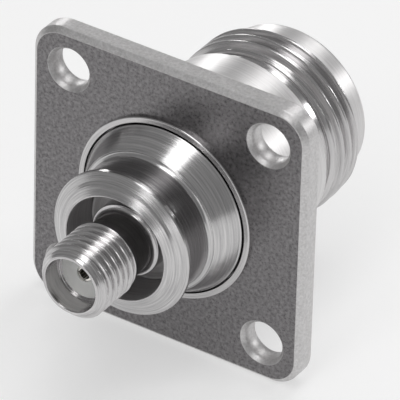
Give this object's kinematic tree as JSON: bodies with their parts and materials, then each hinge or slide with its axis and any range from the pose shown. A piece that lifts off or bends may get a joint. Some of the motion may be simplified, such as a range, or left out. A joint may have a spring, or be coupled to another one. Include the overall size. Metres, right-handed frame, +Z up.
{
  "type": "coaxial adapter",
  "caption": "Square-flange coaxial adapter with a large threaded socket on one side and a small threaded socket on the other.",
  "frame": {"origin": "centre of the square flange's face on the small socket's side", "axes": "-Y along the axis towards the small socket, +Y towards the large socket, +X and +Z along the flange's sides, +Z up"},
  "size_m": [0.0254, 0.0316, 0.0254],
  "materials": {
    "nickel_flange": "nickel-plated brass, turned, worn",
    "nickel_housing": "nickel-plated brass, bright turned",
    "nickel_barrel": "nickel-plated brass, bright",
    "insulator_white": "white PTFE, satin",
    "contact_metal": "silver-plated, bright"
  },
  "bodies": {
    "root": {"flange_shell": "nickel_flange", "housing": "nickel_housing", "small_barrel": "nickel_barrel", "large_insulator": "insulator_white", "small_insulator": "insulator_white", "large_contact": "contact_metal", "small_contact": "contact_metal"}
  },
  "joints": []
}
